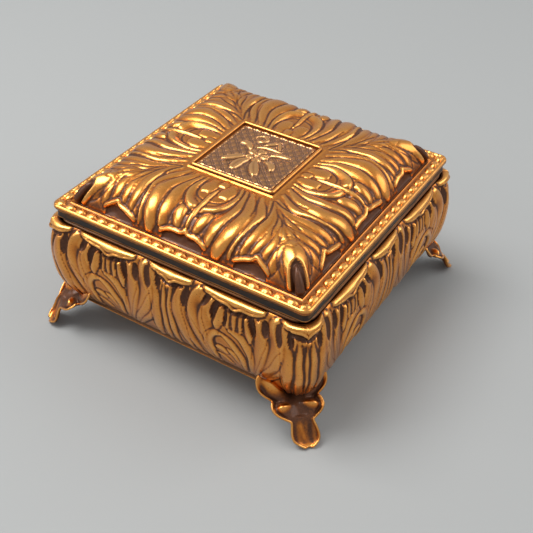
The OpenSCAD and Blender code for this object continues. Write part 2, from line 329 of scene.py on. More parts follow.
@dataclass(frozen=True)
class Leaf:
    """One chased stroke of the die: a leaf, rib or petal on a smooth spine, from its root to its tip."""

    spine: Points
    width: float
    height: float
    swell: float = 0.6
    root: float = 0.0
    blunt: float = 1.0
    lean: float = 0.0
    crease: float = 0.0
    seat: float = 0.0
    full: float = 0.45

    def heights(self, x: np.ndarray, y: np.ndarray) -> tuple[np.ndarray, np.ndarray]:
        """Works out the stroke's height at each place.

        Args:
            x: first coordinate of the places, in mm.
            y: second coordinate.

        Returns:
            The height in mm, a large negative number off the stroke, and the distance outside its outline.
        """
        out, outside = np.full(x.shape, OFF), np.full(x.shape, -OFF)
        line = smooth_line(self.spine)
        reach = self.width / 2 + 1.2
        near = ((x > line[:, 0].min() - reach) & (x < line[:, 0].max() + reach)
                & (y > line[:, 1].min() - reach) & (y < line[:, 1].max() + reach))
        if not near.any():
            return out, outside
        px, py = x[near], y[near]
        squares = (px[:, None] - line[None, :, 0]) ** 2 + (py[:, None] - line[None, :, 1]) ** 2
        k = squares.argmin(1)
        gap = np.sqrt(squares[np.arange(len(k)), k])
        t = k / (len(line) - 1)
        run = np.gradient(line, axis=0)
        side = np.sign(run[k, 0] * (py - line[k, 1]) - run[k, 1] * (px - line[k, 0]))
        rise, fall = self.blunt * self.swell, self.blunt * (1 - self.swell)
        peak = self.swell**rise * (1 - self.swell) ** fall
        share = np.maximum(t**rise * (1 - t) ** fall / peak, self.root * (1 - t))
        half = np.maximum(self.width / 2 * share, 1e-6)
        across = side * gap / half
        shape = np.clip(1 - across**2, 0, 1) ** self.full * (1 + self.lean * across)
        z = self.seat + self.height * np.sqrt(np.clip(share, 0, 1)) * shape
        z -= self.crease * share * np.exp(-((gap / 0.45) ** 2))
        out[near] = np.where(np.abs(across) < 1, z, OFF)
        outside[near] = np.maximum(gap - half, 0.0)
        return out, outside


def blurred(grid: np.ndarray, sigma: float) -> np.ndarray:
    """Blurs a grid of heights.

    Args:
        grid: the heights.
        sigma: the blur's reach, in cells.

    Returns:
        The blurred heights.
    """
    reach = max(1, int(2.5 * sigma))
    taps = np.exp(-0.5 * (np.arange(-reach, reach + 1) / sigma) ** 2)
    taps /= taps.sum()
    for axis in (0, 1):
        pad = [(reach, reach) if k == axis else (0, 0) for k in (0, 1)]
        wide = np.pad(grid, pad, mode="edge")
        size = grid.shape[axis]
        grid = sum(w * np.take(wide, np.arange(i, i + size), axis=axis) for i, w in enumerate(taps))
    return grid


def pressed(strokes: list[Leaf], x: np.ndarray, y: np.ndarray, ground: np.ndarray,
            groove: float = 0.4) -> np.ndarray:
    """Presses strokes into a sheet: raised ones stand at the highest, dug ones are taken away.

    Args:
        strokes: the strokes, a negative height for a dug one.
        x: first coordinate of each place, in mm.
        y: second coordinate.
        ground: the height between the strokes.
        groove: depth of the line chased round each raised stroke, in mm.

    Returns:
        The heights in mm.
    """
    z = ground.copy()
    for stroke in strokes:
        leaf, outside = stroke.heights(x, y)
        if stroke.height < 0:
            z += np.where(leaf > OFF, leaf, 0.0)
        else:
            z = np.maximum(z, leaf)
            z -= np.where(leaf > OFF, 0.0, groove * np.exp(-((outside / 0.42) ** 2)))
    return z


def dug(strokes: list[Leaf], x: np.ndarray, y: np.ndarray) -> np.ndarray:
    """Adds up how deep the dug strokes go at each place, in mm.

    Args:
        strokes: the strokes, of which those of negative height are dug.
        x: first coordinate of each place, in mm.
        y: second coordinate.

    Returns:
        The depth, 0 or more.
    """
    depth = np.zeros(x.shape)
    for stroke in strokes:
        if stroke.height < 0:
            leaf = stroke.heights(x, y)[0]
            depth -= np.where(leaf > OFF, leaf, 0.0)
    return depth


def crest_of(height: np.ndarray, cell: float, fine: float = 0.6, broad: float = 3.0) -> np.ndarray:
    """Finds where a rubbing wheel reaches.

    Args:
        height: the relief, in mm.
        cell: size of a grid cell, in mm.
        fine: reach of the wheel in narrow grooves, in mm.
        broad: reach in wide hollows, in mm.

    Returns:
        1 on the crests, 0 down in the grooves.
    """
    narrow = height - blurred(height, fine / cell)
    wide = height - blurred(height, broad / cell)
    return np.clip(0.62 + 1.7 * narrow + 0.26 * wide, 0, 1)


def wobble(x: np.ndarray, y: np.ndarray, amount: float) -> tuple[np.ndarray, np.ndarray]:
    """Shifts places a little, as hand chasing does.

    Args:
        x: first coordinate, in mm.
        y: second coordinate.
        amount: the largest shift, in mm.

    Returns:
        The shifted coordinates.
    """
    dx = np.sin(x * 0.31 + y * 0.17 + 1.3) + 0.6 * np.sin(y * 0.53 - x * 0.11)
    dy = np.sin(y * 0.29 - x * 0.19 + 0.4) + 0.6 * np.sin(x * 0.47 + y * 0.13 + 2.0)
    return x + amount * dx / 1.6, y + amount * dy / 1.6


# ---------------------------------------------------------------- meshes


def grid_piece(name: str, places: np.ndarray, rub_and_shade: np.ndarray | None = None,
               flip: bool = False) -> bpy.types.Object:
    """Makes a sheet of quads and lays its vertices out.

    Args:
        name: the piece's name.
        places: rows by columns by xyz, in mm.
        rub_and_shade: rows by columns, how bright each place is rubbed, with painted shade and light added on
            some pieces.
        flip: turns the faces over.

    Returns:
        The new object.
    """
    rows, cols = places.shape[:2]
    bm = bmesh.new()
    bmesh.ops.create_grid(bm, x_segments=cols - 1, y_segments=rows - 1, size=1.0)
    if flip:
        bmesh.ops.reverse_faces(bm, faces=bm.faces)
    piece = piece_from(bm, name)
    mesh = piece.data
    co = np.zeros(len(mesh.vertices) * 3, np.float32)
    mesh.vertices.foreach_get("co", co)
    co = co.reshape(-1, 3)
    col = np.rint((co[:, 0] + 1) / 2 * (cols - 1)).astype(int)
    row = np.rint((co[:, 1] + 1) / 2 * (rows - 1)).astype(int)
    mesh.vertices.foreach_set("co", (places[row, col] * MM).astype(np.float32).ravel())
    if rub_and_shade is not None:
        mark(mesh, rub_and_shade[row, col])
    mesh.update()
    return piece


def mark(mesh: bpy.types.Mesh, rub_and_shade: np.ndarray) -> None:
    """Stores how bright each vertex is rubbed, with the painted shade and light that some pieces add."""
    layer = mesh.attributes.get("rub_and_shade") or mesh.attributes.new("rub_and_shade", "FLOAT", "POINT")
    layer.data.foreach_set("value", rub_and_shade.astype(np.float32))


def piece_from(bm: bmesh.types.BMesh, name: str) -> bpy.types.Object:
    """Turns a bmesh into a smooth-shaded object.

    Args:
        bm: the mesh, which is freed.
        name: the piece's name.

    Returns:
        The new object.
    """
    mesh = bpy.data.meshes.new(name)
    for face in bm.faces:
        face.smooth = True
    bm.to_mesh(mesh)
    bm.free()
    piece = bpy.data.objects.new(name, mesh)
    bpy.context.scene.collection.objects.link(piece)
    return piece


def rework(piece: bpy.types.Object) -> bmesh.types.BMesh:
    """Opens a piece's mesh as a bmesh."""
    bm = bmesh.new()
    bm.from_mesh(piece.data)
    return bm


def put_back(bm: bmesh.types.BMesh, piece: bpy.types.Object) -> None:
    """Writes a bmesh back into its piece."""
    for face in bm.faces:
        face.smooth = True
    bm.to_mesh(piece.data)
    bm.free()
    piece.data.update()


def close_below(piece: bpy.types.Object, z: float) -> None:
    """Closes a sheet with a wall round its edge and a flat underside.

    Args:
        piece: the open sheet.
        z: height of the underside, in mm.
    """
    bm = rework(piece)
    edges = [e for e in bm.edges if e.is_boundary]
    made = bmesh.ops.extrude_edge_only(bm, edges=edges)["geom"]
    for vert in [g for g in made if isinstance(g, bmesh.types.BMVert)]:
        vert.co.z = z * MM
    low = [g for g in made if isinstance(g, bmesh.types.BMEdge) and g.is_boundary]
    bmesh.ops.contextual_create(bm, geom=low)
    bmesh.ops.recalc_face_normals(bm, faces=bm.faces)
    put_back(bm, piece)


def sharpen(piece: bpy.types.Object, degrees: float = 40.0) -> bpy.types.Object:
    """Keeps edges steeper than an angle crisp, and returns the piece."""
    piece.data.set_sharp_from_angle(angle=math.radians(degrees))
    return piece


def dress(piece: bpy.types.Object, material: bpy.types.Material, body: Body, slot: Slot,
          *nodes: str) -> bpy.types.Object:
    """Gives a finished piece its material and body, and hides the CAD nodes that it stands for.

    Args:
        piece: the piece.
        material: its finish.
        body: what it moves with.
        slot: the record's material slot; not used.
        nodes: CAD nodes that it replaces.

    Returns:
        The piece.
    """
    piece.data.materials.clear()
    piece.data.materials.append(material)
    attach(piece, body.value)
    if nodes:
        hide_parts(*nodes)
    LOG.info("%s: %d faces on %s, for %s", piece.name, len(piece.data.polygons), body.value, nodes or "trim")
    return piece


def square_loop(half: np.ndarray, radius: np.ndarray, straight: int, arc: int) -> np.ndarray:
    """Walks round squares with round corners.

    Args:
        half: half width of each square, in mm.
        radius: corner radius of each.
        straight: stations on each side.
        arc: stations on each corner.

    Returns:
        Squares by stations by xy, the last station on the first.
    """
    half, radius = half[:, None], radius[:, None]
    run = np.linspace(-1, 1, straight)[None, :]
    turn = np.linspace(0, math.pi / 2, arc + 2)[None, 1:-1]
    flat = half - radius
    x = np.hstack([run * flat, flat + radius * np.sin(turn)])
    y = np.hstack([-half + 0 * run, -flat - radius * np.cos(turn)])
    sides = [(x, y), (-y, x), (-x, -y), (y, -x)]
    loop = np.stack([np.hstack([s[0] for s in sides]), np.hstack([s[1] for s in sides])], axis=-1)
    return np.concatenate([loop, loop[:, :1]], axis=1)


@dataclass(frozen=True)
class Ring:
    """A moulding swept round a square with round corners."""

    name: str
    section: Points
    corner_half: float
    corner_r: float
    straight: int = 3
    arc: int = 8
    fine: float = 0.0

    def outline(self) -> np.ndarray:
        """Gives the closed section, with extra points no further apart than fine."""
        p = np.asarray(self.section + self.section[:1], float)
        if not self.fine:
            return p
        runs = [np.linspace(a, b, max(2, int(np.hypot(*(b - a)) / self.fine) + 1))[:-1]
                for a, b in zip(p, p[1:])]
        return np.vstack(runs + [p[-1:]])

    def places(self) -> np.ndarray:
        """Gives section points by stations by xyz."""
        line = self.outline()
        radius = np.maximum(self.corner_r + line[:, 0] - self.corner_half, 0.25)
        loop = square_loop(line[:, 0], radius, self.straight, self.arc)
        level = np.broadcast_to(line[:, 1][:, None, None], loop.shape[:2] + (1,))
        return np.concatenate([loop, level], axis=-1)

    def build(self, places: np.ndarray | None = None, rub_and_shade: np.ndarray | None = None) -> bpy.types.Object:
        """Makes the closed ring.

        Args:
            places: its points, if they aren't the plain sweep's.
            rub_and_shade: how bright each is rubbed.

        Returns:
            The new object.
        """
        places = self.places() if places is None else places
        piece = grid_piece(self.name, places, rub_and_shade)
        bm = rework(piece)
        bmesh.ops.remove_doubles(bm, verts=bm.verts, dist=0.002 * MM)
        bmesh.ops.recalc_face_normals(bm, faces=bm.faces)
        put_back(bm, piece)
        return sharpen(piece)


# ---------------------------------------------------------------- sizes from the frame


@dataclass
class Sizes:
    """Levels and half widths that the CAD frame gives, in mm."""

    base_low: float = 0.0
    band_top: float = 0.0
    wall_top: float = 0.0
    frame_top: float = 0.0
    skirt_low: float = 0.0
    rim_low: float = 0.0
    dome_top: float = 0.0
    bezel_top: float = 0.0
    lid_half: float = 0.0
    skirt_half: float = 0.0
    edge_half: float = 0.0
    foot_half: float = 0.0
    frame_inner: float = 50.6
    frame_t: float = 1.2
    band_out: float = 0.5
    border_t: float = 1.2

    @classmethod
    def from_frame(cls) -> "Sizes":
        """Reads the sizes off the CAD nodes' boxes."""
        low = {n: [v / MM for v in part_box(n)[0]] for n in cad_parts}
        high = {n: [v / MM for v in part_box(n)[1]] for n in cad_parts}
        return cls(
            base_low=low["base_plate"][2], band_top=high["base_plate"][2],
            wall_top=high["front_wall"][2], frame_top=low["rim_frame"][2] + cls.frame_t,
            skirt_low=low["lid_skirt"][2], rim_low=low["lid_top"][2],
            dome_top=high["lid_top"][2], bezel_top=high["plaque_bezel"][2],
            lid_half=high["lid_top"][0], skirt_half=high["lid_skirt"][0],
            edge_half=high["rim_frame"][0], foot_half=high["base_plate"][0] - cls.band_out,
        )

    @property
    def border_top(self) -> float:
        """Level of the lid's flat border."""
        return self.rim_low + self.border_t


# ---------------------------------------------------------------- lid


@dataclass
class PressedLid:
    """The lid's pressed top: a leafy dome, a beaded border with a rolled edge, and the dark skirt."""

    sizes: Sizes
    finishes: Finishes
    cells: int = 296
    dome_reach: float = 53.2
    dome_power: float = 9.0
    slope: float = 2.4
    flat_half: float = 20.7
    dome_foot: float = 52.6
    relief_room: float = 0.5
    hand: float = 0.35
    bead_pitch: float = 5.43
    bead_line: float = 57.0
    chased: tuple[float, ...] = (0.9, -0.45, 0.5, 0.3, 0.25)

    def strokes(self) -> list[Leaf]:
        """Lists the dome's strokes: first along the side from its middle, second out from the centre."""
        return [
            # fan of leaves each side of the middle, from the corner inwards
            Leaf(((24.4, 26.6), (35.6, 37.0), (39.6, 43.0), (38.4, 51.4)), 6.6, 1.7, 0.6, 0.3, lean=0.2),
            Leaf(((23.4, 24.6), (32.4, 34.6), (34.8, 41.0), (34.4, 50.2)), 5.2, 1.5, 0.6, 0.35),
            Leaf(((22.2, 22.8), (29.2, 33.0), (30.8, 40.0), (30.2, 50.0)), 5.0, 1.5, 0.6, 0.35),
            Leaf(((21.0, 22.6), (26.6, 31.0), (27.6, 39.0), (26.0, 50.8)), 5.0, 1.6, 0.6, 0.35, lean=0.2),
            Leaf(((17.4, 23.0), (21.6, 31.0), (22.7, 39.0), (22.1, 45.0), (20.6, 52.0)),
                 5.2, 1.7, 0.62, 0.35, lean=-0.2),
            Leaf(((13.0, 23.0), (17.0, 32.0), (18.2, 39.0), (17.2, 45.0), (14.5, 52.6)),
                 8.2, 2.2, 0.68, 0.25, lean=-0.3),
            Leaf(((10.2, 23.0), (12.4, 31.0), (12.6, 38.0), (11.6, 44.0), (10.0, 51.2)),
                 6.0, 1.9, 0.68, 0.25, lean=-0.3),
            Leaf(((6.4, 40.6), (5.6, 45.0), (3.8, 50.4)), 5.2, 1.8, 0.5, 0.4),
            # paired volutes under the plaque, the knob between them and the stem
            Leaf(((7.6, 22.6), (9.0, 28.0), (8.6, 33.6), (6.2, 38.2), (1.4, 40.6)),
                 4.8, 1.9, 0.78, 0.35, lean=-0.5),
            Leaf(((4.0, 23.6), (4.2, 31.6)), 6.6, 1.5, 0.62, 0.6, 0.6),
            Leaf(((0.0, 22.4), (0.0, 26.0)), 4.0, 1.7, 0.5, 0.8, 0.4),
            Leaf(((0.0, 28.6), (0.0, 38.0), (0.0, 50.6)), 2.4, 1.7, 0.6, 0.5, 0.6),
            # lines chased where the leaves are still flat
            Leaf(((7.0, 22.6), (7.7, 27.2), (7.0, 32.0), (4.5, 34.8), (0.9, 36.0)), *self.chased),
            Leaf(((9.0, 22.6), (10.6, 28.4), (10.2, 34.0), (7.9, 39.6), (4.6, 42.2)), *self.chased),
            Leaf(((11.1, 22.6), (14.4, 31.2), (15.0, 37.2), (13.6, 45.6), (12.6, 50.0)), *self.chased),
            Leaf(((15.6, 22.4), (18.8, 29.6), (20.4, 36.4)), *self.chased),
            Leaf(((21.4, 21.8), (24.2, 28.0), (25.0, 36.0), (23.7, 45.0), (22.0, 51.2)),
                 1.3, -0.9, 0.6, 0.3, 0.3),
            Leaf(((25.4, 26.2), (29.0, 31.6), (32.2, 40.5)), *self.chased),
            Leaf(((27.6, 28.6), (34.0, 35.2), (37.2, 43.0)), *self.chased),
            # hollow behind the volute's arm
            Leaf(((1.4, 43.4), (3.6, 43.6)), 2.6, -1.2, 0.5, 0.3, 0.6),
            # turned-over lobes at the rim: a thin wavy lip, and the hollow under it
            Leaf(((-11.4, 51.4), (-6.0, 50.7), (-2.2, 50.7), (0.0, 49.9), (2.2, 50.7), (6.0, 50.7),
                  (11.4, 51.4)),
                 1.5, 1.9, 0.5, 0.55, 0.4),
            Leaf(((-9.8, 52.3), (0.0, 51.8), (9.8, 52.3)), 2.2, -1.4, 0.5, 0.3, 0.5),
            Leaf(((22.8, 51.4), (27.4, 50.6), (30.6, 50.3), (32.1, 49.4), (34.6, 50.3), (38.8, 51.4)),
                 1.5, 1.9, 0.5, 0.55, 0.4),
            Leaf(((24.0, 52.4), (31.4, 51.7), (37.6, 52.4)), 2.2, -1.4, 0.5, 0.3, 0.5),
            # corner: a folded leaf, the bud with its split and tongue
            Leaf(((32.6, 31.6), (35.7, 37.4), (40.4, 41.6)), 3.2, 1.9, 0.65, 0.3),
            Leaf(((39.6, 39.6), (45.0, 45.0), (49.6, 49.6)), 11.4, 2.6, 0.5, 0.3, 0.8, full=0.7),
            Leaf(((40.6, 43.6), (45.6, 47.6), (48.8, 52.6)), 4.6, 2.4, 0.5, 0.3, 0.7),
            Leaf(((46.4, 46.4), (50.0, 50.0), (54.0, 54.0)), 4.4, -2.2, 0.5, 0.2, 0.7),
            Leaf(((47.4, 47.4), (50.6, 50.6), (53.6, 53.6)), 2.4, 2.2, 0.5, 0.4, 0.7),
        ]

    def level(self, w: np.ndarray) -> np.ndarray:
        """Gives the smooth dome's level at a half width, in mm."""
        s = self.sizes
        share = np.clip((w - self.flat_half) / (self.dome_foot - self.flat_half), 0, 1)
        drop = s.dome_top - self.relief_room - self.slope - s.border_top
        return s.dome_top - self.relief_room - self.slope * share**1.5 - drop * share**self.dome_power

    def dome(self) -> bpy.types.Object:
        """Presses the leafy dome."""
        s = self.sizes
        # lines of the grid stand closer where the dome is steep
        out = np.linspace(0, self.dome_reach, 2000)
        along = np.r_[0, np.cumsum(np.hypot(np.diff(out), np.diff(self.level(out))))]
        even = np.linspace(-along[-1], along[-1], self.cells + 1)
        line = np.sign(even) * np.interp(np.abs(even), along, out)
        x, y = np.meshgrid(line, line)
        wx, wy = wobble(x, y, self.hand)
        a = np.minimum(np.abs(wx), np.abs(wy))
        w = np.maximum(np.abs(wx), np.abs(wy))
        cell = even[1] - even[0]
        ground = 0.1 + 0.75 * np.clip((w - 27) / 12, 0, 1)
        relief = blurred(pressed(self.strokes(), a, w, ground), 0.22 / cell)
        true_w = np.maximum(np.abs(x), np.abs(y))
        relief *= 0.22 + 0.68 * np.clip((true_w - 21) / 17, 0, 1)
        relief *= np.clip((true_w - 20.4) / 2.0, 0, 1) ** 0.6 * np.clip((53.0 - true_w) / 0.8, 0, 1)
        base = self.level(true_w)
        # the die presses square to the sheet
        lean_y, lean_x = np.gradient(blurred(base, 2.0), line, line)
        size = np.sqrt(1 + lean_x**2 + lean_y**2)
        px, py = x - relief * lean_x / size, y - relief * lean_y / size
        z = np.where(true_w < 20.4, s.dome_top - 0.1, base + relief / size)
        # painted shade: a band near the leaves' tips is made darker, except on the lips
        darkened_bands = np.exp(-(((true_w - 47.6) / 2.6) ** 2)) * (1 - np.clip(relief - 1.2, 0, 1))
        # painted shade in the hollow under the lobes, where the dome meets the border, except on the lips
        foot = np.clip((true_w - 50.4) / 1.6, 0, 1) * (1 - np.clip((relief - 1.0) / 0.5, 0, 1))
        # dug lines and hollows are made darker: the patina in them, and painted shade in the hollows under
        # the lobes
        rub_and_shade = crest_of(relief, cell) - 0.24 * darkened_bands - 0.4 * foot - 0.5 * dug(self.strokes(), a, w)
        piece = grid_piece("lid_dome", np.stack([px, py, z], -1), np.clip(rub_and_shade, 0, 1))
        close_below(piece, s.rim_low + 0.2)
        return dress(piece, self.finishes.pressed, Body.LID, Slot.COPPER, "lid_top")

    def border(self) -> bpy.types.Object:
        """Makes the border: a fine raised line, a row of beads and the rolled edge."""
        s = self.sizes
        low, top, half = s.rim_low, s.border_top, s.lid_half
        ring = Ring("lid_border", (
            (52.0, low + 0.1), (52.2, top - 0.1), (58.0, top), (58.3, top + 0.5), (58.8, top + 0.82),
            (59.3, top + 0.85), (59.75, top + 0.6), (half, top + 0.1), (half, low + 0.5),
            (half - 0.25, low + 0.1), (half - 0.7, low), (53.0, low)),
            half, 3.5, straight=300, arc=18, fine=0.3)
        places = ring.places()
        x, y = places[..., 0], places[..., 1]
        a, w = np.minimum(np.abs(x), np.abs(y)), np.maximum(np.abs(x), np.abs(y))
        top_side = (places[..., 2] > top - 0.15) & (w < 58.4)
        first = self.bead_pitch / 2
        away = np.abs((a - first) - np.rint((a - first) / self.bead_pitch) * self.bead_pitch)
        bead = 1.15 * np.sqrt(np.clip(1 - ((w - self.bead_line) / 1.7) ** 2 - (away / 2.45) ** 2, 0, 1))
        wire = 0.4 * np.exp(-(((w - 53.9) / 0.38) ** 2))
        lift = np.where(top_side, np.maximum(bead, wire), 0.0)
        places[..., 2] += lift
        rub_and_shade = np.where(w > 58.2, 0.85, np.clip(0.38 + 0.6 * lift, 0, 1))
        rub_and_shade = np.where((w > 58.2) & (places[..., 2] < top - 0.2), 0.35, rub_and_shade)
        return dress(ring.build(places, rub_and_shade), self.finishes.border, Body.LID, Slot.COPPER)

    def skirt(self) -> bpy.types.Object:
        """Makes the dark skirt with its two rubbed lines."""
        s = self.sizes
        low, top, half = s.skirt_low, s.rim_low, s.skirt_half
        ring = Ring("lid_skirt_band", (
            (half - 1, low), (half - 0.4, low), (half, low + 0.15), (half + 0.12, low + 0.45),
            (half - 0.05, low + 0.8), (half - 0.15, low + 1.0), (half - 0.15, top - 1.15),
            (half - 0.05, top - 0.95), (half + 0.1, top - 0.65), (half - 0.1, top - 0.3),
            (half - 0.2, top), (half - 1, top)), s.skirt_half, 2.5, straight=60, arc=14, fine=0.35)
        places = ring.places()
        z = places[..., 2]
        lower = np.exp(-(((z - low - 0.4) / 0.28) ** 2))
        upper = 0.9 * np.exp(-(((z - top + 0.65) / 0.25) ** 2))
        rub_and_shade = np.maximum(lower, upper)
        along = places[..., 0] * 0.21 + places[..., 1] * 0.17
        rub_and_shade = rub_and_shade * (0.62 + 0.2 * np.sin(along) + 0.12 * np.sin(3.1 * along + 1)) + 0.08
        return dress(ring.build(places, rub_and_shade), self.finishes.skirt, Body.LID, Slot.DARK, "lid_skirt")

    def build(self) -> None:
        """Makes the three pieces."""
        self.dome()
        self.border()
        self.skirt()


@dataclass
class Plaque:
    """The square plaque in the lid's middle: a trellis with a sprig on it, and the wire round it."""

    sizes: Sizes
    finishes: Finishes
    half: float = 17.6
    cells: int = 176
    pitch: float = 3.1
    line_gap: float = 0.84
    line_depth: float = 0.22
    hand: float = 0.25

    def strokes(self) -> list[Leaf]:
        """Lists the sprig's petals, leaves and ribbon."""
        petals = [Leaf(((0.8 * math.sin(t), 0.8 * math.cos(t)), (5.2 * math.sin(t), 5.2 * math.cos(t))),
                       4.2, 0.85, 0.65, 0.3, crease=0.3) for t in (0.15, 1.45, 2.7, 3.95, 5.2)]
        return petals + [
            Leaf(((0.0, -0.3), (0.0, 0.3)), 2.4, 1.0, 0.5, 0.9),
            Leaf(((-1.5, -3.5), (-3.8, -7.5), (-4.2, -13.8)), 4.6, 0.85, 0.55, crease=0.3),
            Leaf(((1.0, -3.5), (3.2, -7.5), (7.0, -12.8)), 4.6, 0.85, 0.55, crease=0.3),
            Leaf(((-4.5, -2.0), (-8.0, -5.5), (-11.6, -9.4)), 3.8, 0.8, 0.55, crease=0.2),
            Leaf(((5.0, -2.4), (8.6, -3.4), (10.8, -6.8)), 3.4, 0.8, 0.55, 0.3),
            Leaf(((4.6, 2.4), (8.0, 4.6), (13.4, 5.0)), 3.0, 0.8, 0.5, 0.2),
            Leaf(((-4.5, 2.6), (-8.2, 5.6), (-12.2, 5.2)), 3.4, 0.8, 0.5, 0.2),
            Leaf(((-3.0, 5.4), (1.0, 7.0), (7.6, 6.8)), 2.4, 0.85, 0.5, 0.5),
            Leaf(((-1.6, 8.0), (1.6, 11.6), (3.6, 13.4)), 2.0, 0.7, 0.5, 0.4),
            Leaf(((5.6, 7.6), (3.8, 11.0), (2.4, 13.6)), 2.0, 0.7, 0.5, 0.4),
            Leaf(((-7.6, 12.0), (-5.0, 14.0), (-2.6, 12.0), (-4.0, 9.6), (-6.6, 9.6)), 2.1, 0.7, 0.5, 0.5),
        ]

    def face(self) -> bpy.types.Object:
        """Presses the plaque."""
        s = self.sizes
        line = np.linspace(-self.half, self.half, self.cells + 1)
        x, y = np.meshgrid(line, line)
        wx, wy = wobble(x, y, self.hand)
        ground = np.zeros_like(x)
        for run in (wx + wy, wx - wy):
            for shift in (-self.line_gap / 2, self.line_gap / 2):
                away = np.abs((run / math.sqrt(2) + shift + self.pitch / 2) % self.pitch - self.pitch / 2)
                ground -= self.line_depth * np.exp(-((away / 0.22) ** 2))
        stipple = np.sin(wx * 9.7 + 2 * np.sin(wy * 3.1)) * np.sin(wy * 10.3 + 2 * np.sin(wx * 2.7))
        ground += 0.035 * stipple
        relief = pressed(self.strokes(), wx, wy, ground)
        scored = np.where(relief > ground + 0.02, 0.0, np.clip(-ground / self.line_depth, 0, 1))
        cell = line[1] - line[0]
        relief = blurred(relief, 0.16 / cell)
        rim = np.maximum(np.abs(x), np.abs(y))
        relief += 0.35 * np.clip((rim - 16.4) / 0.5, 0, 1) - 0.3 * np.clip((rim - 17.1) / 0.5, 0, 1)
        z = s.dome_top + 0.22 + relief
        proud = relief - blurred(relief, 0.8 / cell)
        rub_and_shade = np.clip(0.5 + 1.4 * proud + 0.35 * relief - 0.4 * scored, 0, 1)
        piece = grid_piece("plaque_face", np.stack([x, y, z], -1), rub_and_shade)
        close_below(piece, s.dome_top - 0.05)
        return dress(piece, self.finishes.plaque, Body.LID, Slot.AGED, "plaque")

    def bezel(self) -> bpy.types.Object:
        """Makes the wire frame round the plaque."""
        s = self.sizes
        low, top = s.dome_top - 0.1, s.bezel_top
        ring = Ring("plaque_wire", (
            (18.6, low), (18.55, top - 0.55), (18.75, top - 0.2), (19.1, top - 0.02), (19.5, top - 0.1),
            (19.8, top - 0.4), (20.0, top - 0.8), (20.0, low)), 20.0, 2.0, straight=40, arc=10, fine=0.25)
        places = ring.places()
        rub_and_shade = np.clip((places[..., 2] - low) / (top - low) * 1.1 - 0.2, 0.1, 0.9)
        return dress(ring.build(places, rub_and_shade), self.finishes.pressed, Body.LID, Slot.COPPER, "plaque_bezel")

    def build(self) -> None:
        """Makes the two pieces."""
        self.face()
        self.bezel()


# ---------------------------------------------------------------- walls


class Side(Enum):
    """The four walls: quarter turns from the front, and whether the motif runs backwards."""

    FRONT = ("front_wall", 0, False)
    RIGHT = ("right_wall", 1, True)
    REAR = ("rear_wall", 2, False)
    LEFT = ("left_wall", 3, True)


